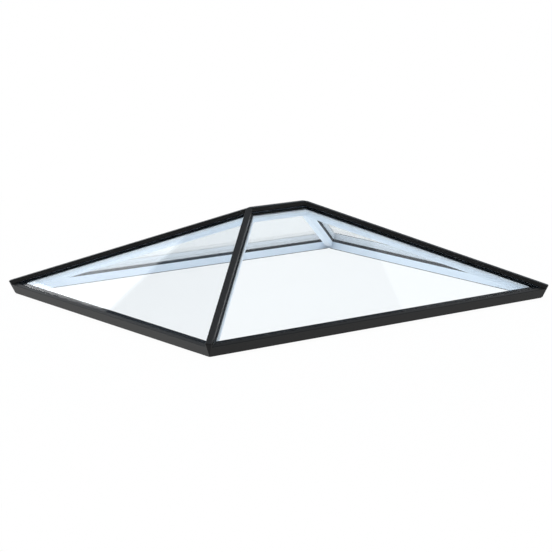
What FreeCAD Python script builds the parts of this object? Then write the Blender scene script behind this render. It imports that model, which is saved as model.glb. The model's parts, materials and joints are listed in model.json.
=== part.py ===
import FreeCAD, Part
import math
import os
import Sketcher
from FreeCAD import Placement, Rotation, Vector

# Roof lantern: a hipped glass roof that stands on a kerb round an opening in a flat roof.
# A ring of four hollow white beams carries four glass units, four hip rafters and a short ridge.
# Black trims, caps and corner covers close it to the weather.
# +X runs along the ridge, the front is -Y, and the drip edges of the eaves trims stand on Z = 0.

driving_sizes = {
    # Over the top edges of the eaves trims
    "eaves_length": 1800,
    "eaves_width": 1500,
    "pitch": 24.8,
    # Eaves trim: a face square to the glass and a lip over the edge of the glass
    "trim_face": 46.5,
    "trim_wall": 3,
    "lip_length": 16,
    "lip_thick": 2.5,
    "trim_edge": 1.2,
    # Slim sealed unit, from the outside in
    "outer_glass": 4,
    "cavity": 6,
    "inner_glass": 4,
    "glass_gap": 2,
    "glass_hip_edge": 7.5,
    "glass_ridge_edge": 9.2,
    "spacer_inset": 1.5,
    "spacer_width": 11.5,
    "border_width": 29,
    # What the glass beds on
    "tape_thick": 7,
    "tape_width": 10,
    "bedding_width": 14,
    # Ring beam on the kerb
    "ring_inner": 50,
    "seat_height": 3,
    "seat_clear": 1,
    "toe_face": 2.5,
    "ring_wall": 4,
    "kerb_seal_width": 3,
    "kerb_seal_height": 2.5,
    "fixing_hole": 6.5,
    "fixing_inset": 37,
    "fixing_edge": 130,
    # Hip rafters and ridge beam, alike in section
    "rafter_width": 40,
    "rafter_flat": 26,
    "rafter_bevel": 10,
    "rafter_drop": 50,
    "rafter_wall": 3,
    "stem_width": 6,
    # Caps over the hips and the ridge
    "cap_width": 26,
    "cap_rise": 16,
    "cap_skirt": 17,
    "cap_wall": 2,
    "cap_edge": 1.2,
    "cover_thick": 3,
}

doc = FreeCAD.newDocument("roof_lantern")
sheet = doc.addObject("Spreadsheet::Sheet", "sizes")
derived = doc.addObject("App::VarSet", "derived")


class Size:
    """A number together with the expression that it comes from."""

    def __init__(self, value, text):
        self.value = value
        self.text = text

    def __add__(self, other):
        other = as_size(other)
        return Size(self.value + other.value, f"({self.text} + {other.text})")

    def __sub__(self, other):
        other = as_size(other)
        return Size(self.value - other.value, f"({self.text} - {other.text})")

    def __mul__(self, other):
        other = as_size(other)
        return Size(self.value * other.value, f"{self.text} * {other.text}")

    def __truediv__(self, other):
        other = as_size(other)
        return Size(self.value / other.value, f"{self.text} / ({other.text})")

    def __neg__(self):
        return Size(-self.value, f"(0 - {self.text})")

    def __radd__(self, other):
        return as_size(other) + self

    def __rsub__(self, other):
        return as_size(other) - self

    def __rmul__(self, other):
        return as_size(other) * self


def as_size(number):
    return number if isinstance(number, Size) else Size(number, repr(number))


def derive(name, size):
    """Keep a worked-out value in the document under a name, so that expressions stay short."""
    derived.addProperty("App::PropertyFloat", name)
    derived.setExpression(name, size.text)
    return Size(size.value, f"derived.{name}")


def cell(name):
    return Size(driving_sizes[name], f"sizes.{name}")


for row, (name, value) in enumerate(driving_sizes.items(), start=1):
    sheet.set(f"A{row}", name)
    sheet.set(f"B{row}", str(value))
    sheet.setAlias(f"B{row}", name)
doc.recompute()

half_length = derive("half_length", cell("eaves_length") / 2)
half_width = derive("half_width", cell("eaves_width") / 2)
pitch = cell("pitch")
pitch_angle = math.radians(pitch.value)
fall_cos = derive("fall_cos", Size(math.cos(pitch_angle), "cos(sizes.pitch)"))
fall_sin = derive("fall_sin", Size(math.sin(pitch_angle), "sin(sizes.pitch)"))
fall_tan = derive("fall_tan", Size(math.tan(pitch_angle), "tan(sizes.pitch)"))
diagonal = derive("diagonal", Size(math.sqrt(2), "sqrt(2)"))
# A hip rises more slowly than the panes beside it, and they fall away from it sideways as fast
hip_fall = derive("hip_fall", fall_tan / diagonal)
hip_steep = derive("hip_steep", Size(math.hypot(1, hip_fall.value), "sqrt(1 + derived.hip_fall ^ 2)"))
pane_skew = derive("pane_skew", Size(math.hypot(1, fall_cos.value), "sqrt(1 + derived.fall_cos ^ 2)"))
ridge_half = derive("ridge_half", half_length - half_width)
hip_run = derive("hip_run", half_width * diagonal)
# Between a hip and the ridge the mitre turns by half of 45 degrees
ridge_mitre = derive("ridge_mitre", Size(math.tan(math.pi / 8), "tan(22.5)"))

# Depths below the top of the trim's lip, square to the glass
glass_top = derive("glass_top", cell("lip_thick"))
cavity_top = derive("cavity_top", glass_top + cell("outer_glass"))
cavity_base = derive("cavity_base", cavity_top + cell("cavity"))
glass_base = derive("glass_base", cavity_base + cell("inner_glass"))
seat_depth = derive("seat_depth", glass_base + cell("tape_thick"))
trim_height = derive("trim_height", cell("trim_face") * fall_cos)


def slope_point(along, depth):
    """A point (inward, up) of a side's section: up the slope from the lip's outer edge, then down."""
    return (along * fall_cos + depth * fall_sin, trim_height + along * fall_sin - depth * fall_cos)


def slope_reach(inward, depth):
    """How far up the slope a depth's plane meets an upright plane."""
    return (inward - depth * fall_sin) / fall_cos


def level(depth):
    """Height of a depth's plane straight above the lip's outer edge."""
    return trim_height - depth / fall_cos


# Each side has its own frame: X along it, Y inward, Z up
sides = {
    "front": {"yaw": 0, "half": half_length, "base": (0, -half_width)},
    "right": {"yaw": 90, "half": half_width, "base": (half_length, 0)},
    "back": {"yaw": 180, "half": half_length, "base": (0, half_width)},
    "left": {"yaw": -90, "half": half_width, "base": (-half_length, 0)},
}
# Each hip's frame has X inward along its diagonal; hand tells on which side the end pane lies
hips = {
    "front_left": {"yaw": 45, "hand": 1, "base": (-half_length, -half_width), "sides": ("front", "left")},
    "front_right": {"yaw": 135, "hand": -1, "base": (half_length, -half_width), "sides": ("front", "right")},
    "back_right": {"yaw": 225, "hand": 1, "base": (half_length, half_width), "sides": ("back", "right")},
    "back_left": {"yaw": 315, "hand": -1, "base": (-half_length, half_width), "sides": ("back", "left")},
}


def new_body(name, frame=None):
    body = doc.addObject("PartDesign::Body", name)
    body.Label = name
    if frame:
        x, y = (as_size(number) for number in frame["base"])
        turn = Rotation(Vector(0, 0, 1), frame["yaw"])
        body.Placement = Placement(Vector(x.value, y.value, 0), turn)
        body.setExpression("Placement.Base.x", x.text)
        body.setExpression("Placement.Base.y", y.text)
    return body


def new_sketch(body, name, plane, shift=(0, 0, 0), tilted=False):
    """A sketch on one of the body's own planes, moved in the plane's own axes and tilted to the pitch."""
    sketch = body.newObject("Sketcher::SketchObject", f"{body.Label}_{name}")
    support = [item for item in body.Origin.OriginFeatures if item.Role == plane][0]
    sketch.AttachmentSupport = [(support, "")]
    sketch.MapMode = "FlatFace"
    shift = [as_size(number) for number in shift]
    turn = Rotation(Vector(1, 0, 0), pitch.value if tilted else 0)
    sketch.AttachmentOffset = Placement(Vector(*(number.value for number in shift)), turn)
    for axis, number in zip("xyz", shift):
        sketch.setExpression(f"AttachmentOffset.Base.{axis}", number.text)
    if tilted:
        sketch.setExpression("AttachmentOffset.Rotation.Angle", pitch.text)
    return sketch


def pin(sketch, kind, geometry, point, number):
    number = as_size(number)
    if number.value == 0 and "." not in number.text:
        axis = -2 if kind == "DistanceX" else -1
        sketch.addConstraint(Sketcher.Constraint("PointOnObject", geometry, point, axis))
        return
    index = sketch.addConstraint(Sketcher.Constraint(kind, -1, 1, geometry, point, number.value))
    sketch.setExpression(f"Constraints[{index}]", number.text)


def draw_loop(sketch, corners):
    """A closed outline through the corners, each held at its place by expressions."""
    first = sketch.GeometryCount
    places = [Vector(as_size(x).value, as_size(y).value, 0) for x, y in corners]
    count = len(places)
    for index in range(count):
        sketch.addGeometry(Part.LineSegment(places[index], places[(index + 1) % count]), False)
    for index in range(count):
        after = first + (index + 1) % count
        sketch.addConstraint(Sketcher.Constraint("Coincident", first + index, 2, after, 1))
    for index, (x, y) in enumerate(corners):
        pin(sketch, "DistanceX", first + index, 1, x)
        pin(sketch, "DistanceY", first + index, 1, y)


def draw_circle(sketch, x, y, diameter):
    x, y = as_size(x), as_size(y)
    circle = Part.Circle(Vector(x.value, y.value, 0), Vector(0, 0, 1), diameter.value / 2)
    index = sketch.addGeometry(circle, False)
    pin(sketch, "DistanceX", index, 3, x)
    pin(sketch, "DistanceY", index, 3, y)
    size = sketch.addConstraint(Sketcher.Constraint("Diameter", index, diameter.value))
    sketch.setExpression(f"Constraints[{size}]", diameter.text)


def pad(body, sketch, length, both_ways=False):
    feature = body.newObject("PartDesign::Pad", f"{sketch.Label}_pad")
    feature.Profile = sketch
    feature.SideType = "Symmetric" if both_ways else "One side"
    length = as_size(length)
    feature.Length = length.value
    feature.setExpression("Length", length.text)
    return feature


def pad_up_hip(body, sketch, run):
    """Sweep an upright section along the hip's rise, for a run measured level."""
    feature = pad(body, sketch, run)
    feature.UseCustomVector = True
    feature.Direction = Vector(1, 0, hip_fall.value)
    feature.setExpression("Direction.z", hip_fall.text)
    feature.AlongSketchNormal = True
    return feature


def cut_through(body, sketch):
    """Cut right through the body both ways, square to the sketch."""
    feature = body.newObject("PartDesign::Pocket", f"{sketch.Label}_cut")
    feature.Profile = sketch
    feature.SideType = "Symmetric"
    reach = cell("eaves_length") * 2
    feature.Length = reach.value
    feature.setExpression("Length", reach.text)
    return feature


def mirrored(corners):
    """The same outline on the other side of the middle line."""
    return [(-as_size(x), y) for x, y in reversed(corners)]


def cut_mitres(body, half, gap=0):
    """Cut both ends of a side's piece on the corner diagonals, back from them by the gap."""
    back = as_size(gap) * diagonal
    deep = half_width
    edge = half - back
    corners = [(edge + deep, -deep), (edge + deep, deep), (edge - deep, deep)]
    sketch = new_sketch(body, "mitres", "XY_Plane")
    draw_loop(sketch, corners)
    draw_loop(sketch, mirrored(corners))
    cut_through(body, sketch)


def side_piece(name, side, loops, gap=0):
    """A length of one section along a side of the lantern, mitred at both corners."""
    half = sides[side]["half"]
    body = new_body(name, sides[side])
    sketch = new_sketch(body, "section", "YZ_Plane")
    for loop in loops:
        draw_loop(sketch, loop)
    pad(body, sketch, half * 2, both_ways=True)
    cut_mitres(body, half, gap)
    return body


ring_top = slope_point(slope_reach(cell("ring_inner"), seat_depth), seat_depth)
trim_foot = derive("trim_foot", cell("trim_face") * fall_sin)
foot_width = derive("foot_width", cell("trim_wall") / fall_cos)
# The seat starts clear of the drip edge, which leans in under it
seat_start = derive("seat_start", trim_foot + foot_width + cell("seat_clear"))
# A kerb seal is set flush in the inner edge of the seat
seal_start = derive("seal_start", cell("ring_inner") - cell("kerb_seal_width"))
seal_top = derive("seal_top", cell("seat_height") + cell("kerb_seal_height"))


def make_ring_beam(side):
    """A closed wedge of a tube, with holes for the kerb screws."""
    wall = cell("ring_wall")
    outer = [
        slope_point(cell("trim_wall"), seat_depth),
        slope_point(cell("trim_wall"), seat_depth + cell("toe_face")),
        (seat_start, cell("seat_height")),
        (seal_start, cell("seat_height")),
        (seal_start, seal_top),
        (cell("ring_inner"), seal_top),
        ring_top,
    ]
    outer_wall = seat_start + wall
    inner_wall = cell("ring_inner") - wall
    floor = cell("seat_height") + wall
    roof_depth = seat_depth + wall
    chamber = [
        (outer_wall, floor),
        (inner_wall, floor),
        slope_point(slope_reach(inner_wall, roof_depth), roof_depth),
        slope_point(slope_reach(outer_wall, roof_depth), roof_depth),
    ]
    body = side_piece(f"ring_beam_{side}", side, [outer, chamber])
    sketch = new_sketch(body, "fixings", "XY_Plane", shift=(0, 0, cell("seat_height") - wall))
    end = sides[side]["half"] - cell("ring_inner") - cell("fixing_edge")
    places = [end, -end]
    if sides[side]["half"] is half_length:
        places += [end / 3, -(end / 3)]
    for place in places:
        draw_circle(sketch, place, cell("fixing_inset"), cell("fixing_hole"))
    holes = body.newObject("PartDesign::Pocket", f"{body.Label}_holes")
    holes.Profile = sketch
    holes.Reversed = True
    depth = wall * 2.5
    holes.Length = depth.value
    holes.setExpression("Length", depth.text)
    return body


def make_eaves_trim(side):
    """A black angle: the leaning face with its drip edge and the lip over the glass."""
    wall = cell("trim_wall")
    edge = cell("trim_edge")
    section = [
        (trim_foot, 0),
        (trim_foot + foot_width, 0),
        slope_point(wall, cell("lip_thick")),
        slope_point(cell("lip_length"), cell("lip_thick")),
        slope_point(cell("lip_length"), edge),
        slope_point(cell("lip_length") - edge, as_size(0)),
        slope_point(edge, as_size(0)),
        slope_point(as_size(0), edge),
    ]
    return side_piece(f"trim_blank_{side}", side, [section])


def slope_strip(start, end, top, base):
    return [slope_point(start, base), slope_point(end, base), slope_point(end, top), slope_point(start, top)]


def make_eaves_gasket(side):
    """The bed under the edge of the glass, a strip along the ring beam's inner edge and the kerb seal below it."""
    start = cell("trim_wall") + cell("glass_gap")
    bed = slope_strip(start, start + cell("bedding_width"), glass_base, seat_depth)
    end = slope_reach(cell("ring_inner"), seat_depth)
    strip = slope_strip(end - cell("tape_width"), end, glass_base, seat_depth)
    inner = cell("ring_inner")
    base = cell("seat_height")
    kerb_seal = [(seal_start, base), (inner, base), (inner, seal_top), (seal_start, seal_top)]
    # Cut back from the mitres, clear of the rafters' stems
    return side_piece(f"eaves_gasket_{side}", side, [bed, strip, kerb_seal], gap=cell("stem_width"))


def pane_outline(side, inset=0, border=None):
    """A pane's corners in its own plane, inset all round or with a border along the eaves of its own."""
    lowest = cell("trim_wall") + cell("glass_gap") + (inset if border is None else border)
    clear = glass_top * fall_sin + cell("glass_hip_edge") * diagonal + as_size(inset) * pane_skew
    reach = sides[side]["half"] - clear
    low = reach - lowest * fall_cos
    if sides[side]["half"] is half_width:
        return [(-low, lowest), (low, lowest), (0, reach / fall_cos)]
    highest = slope_reach(half_width - cell("glass_ridge_edge"), glass_top) - inset
    high = reach - highest * fall_cos
    return [(-low, lowest), (low, lowest), (high, highest), (-high, highest)]


def make_sheet(name, side, depth, thick, outlines):
    """A flat sheet or frame in the slope, from a depth upward."""
    body = new_body(name, sides[side])
    across, up = slope_point(as_size(0), depth)
    sketch = new_sketch(body, "outline", "XY_Plane", shift=(0, across, up), tilted=True)
    for outline in outlines:
        draw_loop(sketch, outline)
    pad(body, sketch, thick)
    return body


def make_glass_unit(side):
    """Two panes and the black edge seal between them, which shows past the caps and, wider still, past the lip."""
    seal = cell("spacer_inset")
    sheet_edge = [pane_outline(side)]
    outer = make_sheet(f"outer_pane_{side}", side, cavity_top, cell("outer_glass"), sheet_edge)
    inner = make_sheet(f"inner_pane_{side}", side, glass_base, cell("inner_glass"), sheet_edge)
    opening = pane_outline(side, seal + cell("spacer_width"), seal + cell("border_width"))
    spacer = make_sheet(f"spacer_{side}", side, cavity_base, cell("cavity"), [pane_outline(side, seal), opening])
    return [outer, inner, spacer]


def bar_sections(fall, steep, rise):
    """Upright sections of a rafter or the ridge beam and what lies on it; rise lifts them to its line."""
    glass_line = level(glass_top) + rise
    seat_line = level(seat_depth) + rise
    pane_line = level(glass_base) + rise
    half = cell("rafter_width") / 2
    flat = cell("rafter_flat") / 2
    wall = cell("rafter_wall")
    stem = cell("stem_width") / 2
    base = glass_line - cell("rafter_drop") * steep
    knee = base + cell("rafter_bevel")
    under_cap = glass_line + cell("cap_rise") - cell("cap_wall") * steep
    cap_top = glass_line + cell("cap_rise")
    cap_base = cap_top - cell("cap_skirt") * steep
    cap_half = cell("cap_width") / 2
    cap_inner = cap_half - cell("cap_wall")
    edge = cell("cap_edge")
    bar_half = [(half, seat_line - half * fall), (half, knee), (flat, base)]
    inner = half - wall
    chamber_half = [
        (inner, seat_line - inner * fall - wall * steep),
        (inner, knee),
        (flat - wall / 2, base + wall * steep),
    ]
    seal = [
        (stem, glass_line - stem * fall),
        (cap_inner, glass_line - cap_inner * fall),
        (cap_inner, under_cap),
        (stem, under_cap),
    ]
    tape_start = half - cell("tape_width")
    tape = [
        (tape_start, seat_line - tape_start * fall),
        (half, seat_line - half * fall),
        (half, pane_line - half * fall),
        (tape_start, pane_line - tape_start * fall),
    ]
    return {
        "bar": [(0, seat_line)] + bar_half + mirrored(bar_half),
        "chamber": [(0, seat_line - wall * steep)] + chamber_half + mirrored(chamber_half),
        "stem": [
            (0, seat_line),
            (stem, seat_line - stem * fall),
            (stem, under_cap),
            (-stem, under_cap),
            (-stem, seat_line - stem * fall),
        ],
        "cap": [
            (edge - cap_half, cap_top),
            (-cap_half, cap_top - edge),
            (-cap_half, cap_base),
            (-cap_inner, cap_base),
            (-cap_inner, under_cap),
            (cap_inner, under_cap),
            (cap_inner, cap_base),
            (cap_half, cap_base),
            (cap_half, cap_top - edge),
            (cap_half - edge, cap_top),
        ],
        "seal": [seal, mirrored(seal)],
        "tape": [tape, mirrored(tape)],
    }


hip_sections = bar_sections(hip_fall, hip_steep, as_size(0))
ridge_sections = bar_sections(fall_tan, as_size(1), half_width * fall_tan)
ring_corner = derive("ring_corner", cell("ring_inner") * diagonal)
# The stems stop short of the trims' lips, which close the corner over them
stem_start = derive("stem_start", slope_point(cell("lip_length") + cell("glass_gap"), glass_top)[0] * diagonal)


def cut_hip_top(body, hand):
    """Mitre a hip's upper end against its twin on the end side and against the ridge on the other."""
    wide = cell("cap_width") + cell("rafter_width")
    beyond = hip_run + wide
    corners = [
        (hip_run, 0),
        (hip_run - wide, wide * hand),
        (beyond, wide * hand),
        (beyond, wide * -hand),
        (hip_run - wide * ridge_mitre, wide * -hand),
    ]
    sketch = new_sketch(body, "top_mitre", "XY_Plane")
    draw_loop(sketch, corners)
    cut_through(body, sketch)


def cut_hip_foot(body):
    """Point a rafter's lower end into the inner corner of the ring beams."""
    wide = cell("rafter_width")
    corners = [
        (ring_corner, 0),
        (ring_corner + wide, wide),
        (-wide, wide),
        (-wide, -wide),
        (ring_corner + wide, -wide),
    ]
    sketch = new_sketch(body, "foot", "XY_Plane")
    draw_loop(sketch, corners)
    cut_through(body, sketch)


def hip_piece(name, hip, loops):
    body = new_body(name, hips[hip])
    sketch = new_sketch(body, "section", "YZ_Plane")
    for loop in loops:
        draw_loop(sketch, loop)
    pad_up_hip(body, sketch, hip_run)
    return body


def make_hip_rafter(hip):
    body = hip_piece(f"hip_rafter_{hip}", hip, [hip_sections["bar"], hip_sections["chamber"]])
    cut_hip_foot(body)
    lift = stem_start * hip_fall
    sketch = new_sketch(body, "stem", "YZ_Plane", shift=(0, lift, stem_start))
    draw_loop(sketch, hip_sections["stem"])
    pad_up_hip(body, sketch, hip_run - stem_start)
    cut_hip_top(body, hips[hip]["hand"])
    return body


def make_hip_tape(hip):
    body = hip_piece(f"hip_tape_{hip}", hip, hip_sections["tape"])
    cut_hip_foot(body)
    cut_hip_top(body, hips[hip]["hand"])
    return body


def hip_blank(name, hip, loops):
    """A cap or seal that still runs past the corner of the eaves."""
    body = hip_piece(name, hip, loops)
    cut_hip_top(body, hips[hip]["hand"])
    return body


# The corner cover's face leans as the trims do and starts from nothing at the drip edges
corner_foot = derive("corner_foot", trim_foot * diagonal)
cover_deep = derive("cover_deep", cell("cover_thick") / fall_cos)
cover_top = derive("cover_top", level(glass_top) + cell("cap_rise"))


def corner_loop(height, start, end):
    """Plan outline between two distances behind the cover's face, within the planes of both trims."""
    face = corner_foot - height * fall_tan
    beside = height * fall_tan * (diagonal - 1)
    return [
        (face + start, -(beside + start)),
        (face + end, -(beside + end)),
        (face + end, beside + end),
        (face + start, beside + start),
    ]


def corner_loft(name, hip, low, high, start, end):
    body = new_body(name, hips[hip])
    profiles = []
    for part_name, height in (("low", low), ("high", high)):
        sketch = new_sketch(body, part_name, "XY_Plane", shift=(0, 0, height))
        draw_loop(sketch, corner_loop(height, start, end))
        profiles.append(sketch)
    loft = body.newObject("PartDesign::AdditiveLoft", f"{name}_loft")
    loft.Profile = profiles[0]
    loft.Sections = profiles[1:]
    loft.Ruled = True
    return body


def make_corner_cover(hip):
    return corner_loft(f"corner_cover_{hip}", hip, cell("cover_thick"), cover_top, as_size(0), cover_deep)


def make_weather_space(hip):
    """All that lies behind the corner cover and within the planes of the two trims."""
    far = hip_run * 1.5
    high = half_width
    return corner_loft(f"weather_space_{hip}", hip, as_size(-1), high, cover_deep, far)


def make_corner_room(hip):
    """The corner of the trims that makes room for the cover."""
    body = new_body(f"corner_room_{hip}", hips[hip])
    sketch = new_sketch(body, "side_view", "XZ_Plane")
    top = cover_top
    face = corner_foot + cover_deep
    before = -top
    corners = [
        (face, 0),
        (before, 0),
        (before, top),
        (face - top * fall_tan, top),
    ]
    draw_loop(sketch, corners)
    pad(body, sketch, top * 2, both_ways=True)
    return body


def boolean(kind, name, base, tool):
    result = doc.addObject(f"Part::{kind}", name)
    result.Label = name
    result.Base = base
    result.Tool = tool
    return result


def ridge_piece(name, loops):
    """A length of one section along the ridge, with both ends pointed between the hips."""
    body = new_body(name)
    sketch = new_sketch(body, "section", "YZ_Plane")
    for loop in loops:
        draw_loop(sketch, loop)
    pad(body, sketch, ridge_half * 2, both_ways=True)
    wide = cell("cap_width") + cell("rafter_width")
    beyond = ridge_half + wide
    corners = [
        (ridge_half, 0),
        (ridge_half - wide * ridge_mitre, wide),
        (beyond, wide),
        (beyond, -wide),
        (ridge_half - wide * ridge_mitre, -wide),
    ]
    points = new_sketch(body, "points", "XY_Plane")
    draw_loop(points, corners)
    draw_loop(points, mirrored(corners))
    cut_through(body, points)
    return body


def make_ridge_beam():
    body = ridge_piece("ridge_beam", [ridge_sections["bar"], ridge_sections["chamber"]])
    sketch = new_sketch(body, "stem", "YZ_Plane")
    draw_loop(sketch, ridge_sections["stem"])
    pad(body, sketch, ridge_half * 2, both_ways=True)
    return body


nodes = []
trim_blanks = {side: make_eaves_trim(side) for side in sides}
corner_rooms = {hip: make_corner_room(hip) for hip in hips}
trims = {}
for side, blank in trim_blanks.items():
    first, second = [hip for hip in hips if side in hips[hip]["sides"]]
    opened = boolean("Cut", f"trim_one_corner_{side}", blank, corner_rooms[first])
    trims[side] = boolean("Cut", f"eaves_trim_{side}", opened, corner_rooms[second])
    nodes += [make_ring_beam(side), trims[side], make_eaves_gasket(side)]
    nodes += make_glass_unit(side)

for hip in hips:
    space = make_weather_space(hip)
    cap = hip_blank(f"cap_blank_{hip}", hip, [hip_sections["cap"]])
    seal = hip_blank(f"seal_blank_{hip}", hip, hip_sections["seal"])
    beside, end = (trims[side] for side in hips[hip]["sides"])
    seal_end = boolean("Common", f"seal_end_{hip}", seal, space)
    seal_lip = boolean("Cut", f"seal_lip_{hip}", seal_end, beside)
    nodes += [
        make_hip_rafter(hip),
        boolean("Common", f"hip_cap_{hip}", cap, space),
        boolean("Cut", f"hip_seal_{hip}", seal_lip, end),
        make_corner_cover(hip),
    ]

nodes += [
    make_ridge_beam(),
    ridge_piece("ridge_cap", [ridge_sections["cap"]]),
    ridge_piece("ridge_seal", ridge_sections["seal"]),
]
tapes = [make_hip_tape(hip) for hip in hips]
tapes.append(ridge_piece("ridge_tape", ridge_sections["tape"]))
tape = doc.addObject("Part::Compound", "glazing_tape")
tape.Label = "glazing_tape"
tape.Links = tapes
nodes.append(tape)

doc.recompute()
for item in doc.Objects:
    if "Invalid" in item.State or "Error" in item.State:
        raise RuntimeError(f"{item.Label} did not build: {item.State}")
os.makedirs("parts", exist_ok=True)
for node in nodes:
    if node.Shape.isNull() or not node.Shape.isValid():
        raise RuntimeError(f"{node.Label} has no sound shape")
for node in nodes:
    node.Shape.exportStep(f"parts/{node.Label}.step")
    print(node.Label, len(node.Shape.Solids), round(node.Shape.Volume / 1000, 2))
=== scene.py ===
import bmesh
import bpy
import json
import math
from mathutils import Matrix, Vector

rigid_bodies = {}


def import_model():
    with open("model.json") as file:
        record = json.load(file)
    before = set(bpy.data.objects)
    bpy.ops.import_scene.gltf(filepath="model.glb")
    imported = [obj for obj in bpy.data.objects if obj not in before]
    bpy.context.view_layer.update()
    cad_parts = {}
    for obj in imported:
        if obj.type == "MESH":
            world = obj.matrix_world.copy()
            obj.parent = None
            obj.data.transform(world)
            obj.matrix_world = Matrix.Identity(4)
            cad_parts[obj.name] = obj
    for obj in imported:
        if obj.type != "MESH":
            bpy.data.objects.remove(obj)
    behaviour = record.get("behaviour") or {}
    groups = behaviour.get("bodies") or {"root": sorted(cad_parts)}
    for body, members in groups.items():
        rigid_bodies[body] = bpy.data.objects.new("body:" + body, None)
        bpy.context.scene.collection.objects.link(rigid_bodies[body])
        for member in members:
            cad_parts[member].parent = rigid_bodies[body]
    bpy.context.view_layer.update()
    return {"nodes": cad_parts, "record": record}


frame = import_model()
scene = bpy.context.scene
scene.view_settings.view_transform = "Standard"
print("frame loaded:", len(frame["nodes"]), "pieces")

# Camera where the photograph was taken from; its image is 552 px square
cameraSet = {
    "azimuth": -37.33,  # degrees
    "elevation": 11.54,
    "distance": 8.4844,  # m, from the aim point
    "aimHeight": 0.06,  # m
    "slideRight": -0.0060,  # m, along the image's own axes
    "slideUp": 0.0252,
    "focalPixels": 1957.0,
    "imagePixels": 552,
    "sensor": 36.0,  # mm
    "farClip": 100,  # m
}


def addCamera(setup):
    turn = math.radians(setup["azimuth"])
    tip = math.radians(setup["elevation"])
    back = Vector((math.sin(turn) * math.cos(tip), -math.cos(turn) * math.cos(tip), math.sin(tip)))
    right = Vector((math.cos(turn), math.sin(turn), 0))
    up = back.cross(right)
    data = bpy.data.cameras.new("photoCamera")
    data.sensor_width = setup["sensor"]
    data.lens = setup["sensor"] * setup["focalPixels"] / setup["imagePixels"]
    data.clip_end = setup["farClip"]
    camera = bpy.data.objects.new("photoCamera", data)
    place = back * setup["distance"] + right * setup["slideRight"] + up * setup["slideUp"]
    place.z += setup["aimHeight"]
    axes = Matrix((right, up, back)).transposed().to_4x4()
    camera.matrix_world = Matrix.Translation(place) @ axes
    scene.collection.objects.link(camera)
    scene.camera = camera


addCamera(cameraSet)
print("camera placed")


def hexColour(text):
    # sRGB hex to the linear values that shaders use
    parts = [int(text[i:i + 2], 16) / 255 for i in (1, 3, 5)]
    linear = [p / 12.92 if p <= 0.04045 else ((p + 0.055) / 1.055) ** 2.4 for p in parts]
    return (*linear, 1.0)


def addNode(tree, kind, settings=None, **links):
    # one node with its settings and links; an input goes by its name, in a link with __ for a
    # space, or by its number after an underscore
    node = tree.nodes.new(kind)

    def socket(name):
        return node.inputs[int(name[1:]) if name[0] == "_" else name.replace("__", " ")]

    for name, value in (settings or {}).items():
        if hasattr(node, name):
            setattr(node, name, value)
        else:
            socket(name).default_value = value
    for name, source in links.items():
        tree.links.new(source, socket(name))
    return node


mixedColour = 2  # a Mix node's colour output; its two colours are inputs 6 and 7


def newMaterial(name):
    material = bpy.data.materials.new(name)
    material.use_nodes = True
    material.node_tree.nodes.clear()
    return material, material.node_tree


def perMetre(millimetres):
    # texture scale for a pattern that repeats at a real size
    return 1000.0 / millimetres


# Polyester powder coat on extruded aluminium: a satin film with a fine orange peel and a little
# dust bloom
coatFilm = {
    "ior": 1.5,
    "peel": 2.5,  # mm, coarser than the real 0.5 mm so that it shows
    "peelDetail": 2.0,
    "peelDepth": 0.0005,  # m
    "bloomSize": 260,  # mm
    "bloomDetail": 4.0,
}
blackCoat = {
    "colour": "#101111",
    "bloom": "#151616",
    "roughness": (0.32, 0.4),
    "shine": 0.16,  # specular level, matched to how dark the faces are
    "bump": 0.05,
}
whiteCoat = {
    "colour": "#eef6ff",
    "bloom": "#e6f0fb",
    "roughness": (0.36, 0.46),
    "shine": 0.5,
    "bump": 0.04,
}


def powderCoat(name, look, film):
    material, tree = newMaterial(name)
    place = addNode(tree, "ShaderNodeTexCoord").outputs["Object"]
    cloud = addNode(
        tree,
        "ShaderNodeTexNoise",
        {"Scale": perMetre(film["bloomSize"]), "Detail": film["bloomDetail"]},
        Vector=place,
    ).outputs["Fac"]
    peel = addNode(
        tree,
        "ShaderNodeTexNoise",
        {"Scale": perMetre(film["peel"]), "Detail": film["peelDetail"]},
        Vector=place,
    ).outputs["Fac"]
    colour = addNode(
        tree,
        "ShaderNodeMix",
        {"data_type": "RGBA", "_6": hexColour(look["colour"]), "_7": hexColour(look["bloom"])},
        _0=cloud,
    )
    low, high = look["roughness"]
    rough = addNode(tree, "ShaderNodeMapRange", {"To Min": low, "To Max": high}, Value=cloud)
    bump = addNode(
        tree,
        "ShaderNodeBump",
        {"Strength": look["bump"], "Distance": film["peelDepth"]},
        Height=peel,
    )
    shader = addNode(
        tree,
        "ShaderNodeBsdfPrincipled",
        {"IOR": film["ior"], "Specular IOR Level": look["shine"]},
        Base__Color=colour.outputs[mixedColour],
        Roughness=rough.outputs[0],
        Normal=bump.outputs[0],
    )
    addNode(tree, "ShaderNodeOutputMaterial", Surface=shader.outputs[0])
    return material


# Clear toughened float glass with an anti-glare coat: it mirrors far less than bare glass, whose
# index is 1.52, and lamps shine through it
paneLook = {"colour": "#fcfeff", "ior": 1.15}


def clearGlass(name, look):
    material, tree = newMaterial(name)
    colour = hexColour(look["colour"])
    pane = addNode(
        tree,
        "ShaderNodeBsdfPrincipled",
        {"Base Color": colour, "Roughness": 0.0, "IOR": look["ior"], "Transmission Weight": 1.0},
    )
    clear = addNode(tree, "ShaderNodeBsdfTransparent", {"Color": colour})
    path = addNode(tree, "ShaderNodeLightPath")
    surface = addNode(
        tree,
        "ShaderNodeMixShader",
        _0=path.outputs["Is Shadow Ray"],
        _1=pane.outputs[0],
        _2=clear.outputs[0],
    )
    addNode(tree, "ShaderNodeOutputMaterial", Surface=surface.outputs[0])
    return material


# What the soft strips have in common: a fine uneven skin
stripSkin = {
    "ior": 1.5,
    "detail": 3.0,
    "bump": 0.12,
    "depth": 0.0006,  # m
}
# EPDM rubber: extruded, dull black with a cool cast and a faint drag grain, in mm
rubberLook = {
    "colour": "#0a1016",
    "worn": "#10171e",
    "roughness": 0.62,
    "shine": 0.15,
    "grain": 6,
}
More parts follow.
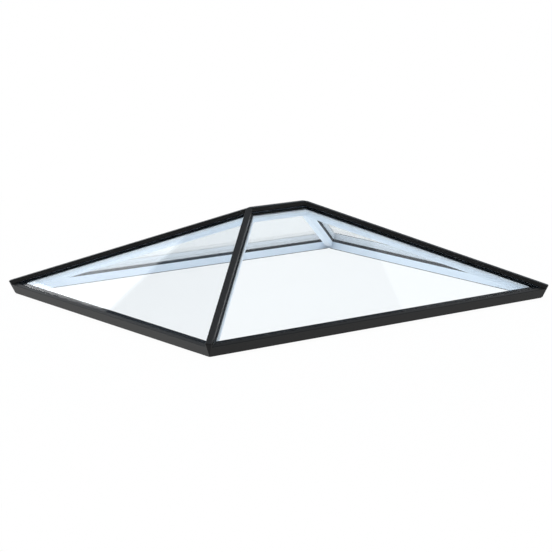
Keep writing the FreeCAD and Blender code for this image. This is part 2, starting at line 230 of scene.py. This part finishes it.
# Warm-edge spacer: black foam with a dull vapour film
spacerLook = {
    "colour": "#0a1015",
    "worn": "#0f161d",
    "roughness": 0.55,
    "shine": 0.15,
    "grain": 9,
}
# Glazing tape: closed-cell foam, slightly uneven in tone, white, with painted shade: black under
# the right pane, standing in for the dark shade line beside the far rafter
tapeLook = {
    "colour": "#e9edf1",
    "worn": "#dfe5ea",
    "paintedShadeColour": "#0b1117",
    "ridgeEnd": 0.15,  # m, where the hips meet the ridge
    "roughness": 0.8,
    "shine": 0.2,
    "grain": 4,
}


def paintedShadeUnderRightPane(tree, place, ridgeEnd):
    # 1 between the two right hips as seen on plan, and 0 elsewhere: where the tape gets its
    # painted shade
    axes = addNode(tree, "ShaderNodeSeparateXYZ", Vector=place).outputs
    across = addNode(tree, "ShaderNodeMath", {"operation": "ABSOLUTE"}, _0=axes["Y"])
    past = addNode(
        tree,
        "ShaderNodeMath",
        {"operation": "SUBTRACT"},
        _0=axes["X"],
        _1=across.outputs[0],
    )
    side = addNode(
        tree,
        "ShaderNodeMath",
        {"operation": "GREATER_THAN", "_1": ridgeEnd},
        _0=past.outputs[0],
    )
    return side.outputs[0]


def softStrip(name, look, skin):
    material, tree = newMaterial(name)
    place = addNode(tree, "ShaderNodeTexCoord").outputs["Object"]
    grain = addNode(
        tree,
        "ShaderNodeTexNoise",
        {"Scale": perMetre(look["grain"]), "Detail": skin["detail"]},
        Vector=place,
    ).outputs["Fac"]
    colour = addNode(
        tree,
        "ShaderNodeMix",
        {"data_type": "RGBA", "_6": hexColour(look["colour"]), "_7": hexColour(look["worn"])},
        _0=grain,
    )
    # painted shade: the tape turns black under the right pane, in place of the shade line beside
    # the far rafter
    if "paintedShadeColour" in look:
        colour = addNode(
            tree,
            "ShaderNodeMix",
            {"data_type": "RGBA", "_7": hexColour(look["paintedShadeColour"])},
            _0=paintedShadeUnderRightPane(tree, place, look["ridgeEnd"]),
            _6=colour.outputs[mixedColour],
        )
    bump = addNode(
        tree,
        "ShaderNodeBump",
        {"Strength": skin["bump"], "Distance": skin["depth"]},
        Height=grain,
    )
    shader = addNode(
        tree,
        "ShaderNodeBsdfPrincipled",
        {"Roughness": look["roughness"], "IOR": skin["ior"], "Specular IOR Level": look["shine"]},
        Base__Color=colour.outputs[mixedColour],
        Normal=bump.outputs[0],
    )
    addNode(tree, "ShaderNodeOutputMaterial", Surface=shader.outputs[0])
    return material


finishes = {
    "black_powder_coat": powderCoat("blackPowderCoat", blackCoat, coatFilm),
    "white_powder_coat": powderCoat("whitePowderCoat", whiteCoat, coatFilm),
    "clear_glass": clearGlass("antiGlareGlass", paneLook),
    "black_rubber": softStrip("blackRubber", rubberLook, stripSkin),
    "black_spacer": softStrip("warmEdgeSpacer", spacerLook, stripSkin),
    "white_tape": softStrip("glazingTape", tapeLook, stripSkin),
}
for part in frame["record"]["subparts"]:
    piece = bpy.data.objects[part["node"]]
    piece.data.materials.clear()
    piece.data.materials.append(finishes[part["material_slot"]])
print("finishes set:", len(finishes))

# Pale floor that reads white to the camera, in mirrors and through glass, and keeps a faint shadow
floorLook = {
    "size": 40.0,  # m
    "colour": "#f6f7f8",
    "white": "#ffffff",
    "strength": 1.0,  # of the white
    "glow": (0.94, 1.0),  # share of the white, under the lantern and far from it
    "fade": 3.0,  # m, where the far share is reached
}


def addFloor(look):
    mesh = bpy.data.meshes.new("studioFloor")
    shape = bmesh.new()
    bmesh.ops.create_grid(shape, x_segments=1, y_segments=1, size=look["size"] / 2)
    shape.to_mesh(mesh)
    shape.free()
    floor = bpy.data.objects.new("studioFloor", mesh)
    scene.collection.objects.link(floor)
    material, tree = newMaterial("palePaper")
    paper = addNode(tree, "ShaderNodeBsdfDiffuse", {"Color": hexColour(look["colour"])})
    glow = addNode(
        tree,
        "ShaderNodeEmission",
        {"Color": hexColour(look["white"]), "Strength": look["strength"]},
    )
    path = addNode(tree, "ShaderNodeLightPath").outputs
    seen = path["Is Camera Ray"]
    for ray in ("Is Glossy Ray", "Is Transmission Ray"):
        either = addNode(tree, "ShaderNodeMath", {"operation": "MAXIMUM"}, _0=seen, _1=path[ray])
        seen = either.outputs[0]
    place = addNode(tree, "ShaderNodeTexCoord").outputs["Object"]
    away = addNode(tree, "ShaderNodeVectorMath", {"operation": "LENGTH"}, _0=place)
    near, far = look["glow"]
    fade = addNode(
        tree,
        "ShaderNodeMapRange",
        {"From Max": look["fade"], "To Min": near, "To Max": far},
        Value=away.outputs["Value"],
    )
    share = addNode(
        tree,
        "ShaderNodeMath",
        {"operation": "MULTIPLY"},
        _0=seen,
        _1=fade.outputs[0],
    )
    surface = addNode(
        tree,
        "ShaderNodeMixShader",
        _0=share.outputs[0],
        _1=paper.outputs[0],
        _2=glow.outputs[0],
    )
    addNode(tree, "ShaderNodeOutputMaterial", Surface=surface.outputs[0])
    mesh.materials.append(material)


addFloor(floorLook)
print("floor laid")

# Soft studio sky, the same to every ray: white along the horizon and overhead, cool and darker
# between
skyLook = {
    "strength": 1.0,
    # by the sine of the elevation, from low to high
    "colours": {0.0: "#ffffff", 0.26: "#667c94", 0.42: "#506880", 1.0: "#ffffff"},
}


def addSky(look):
    world = bpy.data.worlds.new("studioSky")
    scene.world = world
    world.use_nodes = True
    tree = world.node_tree
    tree.nodes.clear()
    towards = addNode(tree, "ShaderNodeTexCoord").outputs["Generated"]
    height = addNode(tree, "ShaderNodeSeparateXYZ", Vector=towards).outputs["Z"]
    shade = addNode(tree, "ShaderNodeValToRGB", Fac=height)
    stops = shade.color_ramp.elements
    stops.remove(stops[1])  # leaves the stop at 0
    for place, colour in look["colours"].items():
        stop = stops[0] if place == 0.0 else stops.new(place)
        stop.color = hexColour(colour)
    fill = addNode(
        tree,
        "ShaderNodeBackground",
        {"Strength": look["strength"]},
        Color=shade.outputs["Color"],
    )
    addNode(tree, "ShaderNodeOutputWorld", Surface=fill.outputs[0])


addSky(skyLook)

# Studio lamps, aimed at the lantern; places and sizes in m
lampSet = {
    "overhead": {"place": (-1.0, -2.0, 5.0), "size": 5.0, "watts": 90},
    "backLeft": {"place": (-5.0, 2.5, 2.5), "size": 4.0, "watts": 115},
    "rightSide": {"place": (6.5, -0.5, 2.0), "size": 3.0, "watts": 85},
}


def addLamp(name, setup):
    data = bpy.data.lights.new(name, "AREA")
    data.size = setup["size"]
    data.energy = setup["watts"]
    lamp = bpy.data.objects.new(name, data)
    lamp.location = setup["place"]
    lamp.rotation_euler = (-Vector(setup["place"])).to_track_quat("-Z", "Y").to_euler()
    scene.collection.objects.link(lamp)


for lampName, lampSetup in lampSet.items():
    addLamp(lampName, lampSetup)

# Soft boxes behind the lantern, in m: two whose edges show as slanting lines in the near panes,
# and a small bright one that veils the dark border along the left eaves
softBoxes = {
    "boxInFrontPane": {
        "edge": ((2.863, 1.184, 3.042), (2.679, 0.566, 2.869)),
        "side": -1,  # which side of its edge the box lies on
        "across": 1.6,
        "along": 3.0,
        "radiance": 0.6,
    },
    "boxInLeftPane": {
        "edge": ((0.452, 3.396, 2.432), (-0.126, 3.315, 2.227)),
        "side": 1,
        "across": 1.2,
        "along": 3.0,
        "radiance": 1.3,
    },
    "boxAlongLeftEaves": {
        "edge": ((-0.208, 3.028, 1.989), (-0.255, 3.717, 1.870)),
        "side": -1,
        "across": 0.045,
        "along": 0.70,
        "radiance": 3.3,
    },
}


def addSoftBox(name, setup):
    first, second = (Vector(point) for point in setup["edge"])
    middle = (first + second) / 2
    along = (second - first).normalized() * setup["side"]
    across = along.cross(middle.normalized()).normalized()
    outward = across.cross(along)  # so that the box faces the lantern
    data = bpy.data.lights.new(name, "AREA")
    data.shape = "RECTANGLE"
    data.size = setup["across"]
    data.size_y = setup["along"]
    data.energy = setup["radiance"] * math.pi * setup["across"] * setup["along"]
    lamp = bpy.data.objects.new(name, data)
    turn = Matrix((across, along, outward)).transposed().to_4x4()
    lamp.matrix_world = Matrix.Translation(middle + across * setup["across"] / 2) @ turn
    scene.collection.objects.link(lamp)


for boxName, boxSetup in softBoxes.items():
    addSoftBox(boxName, boxSetup)
print("lights on")
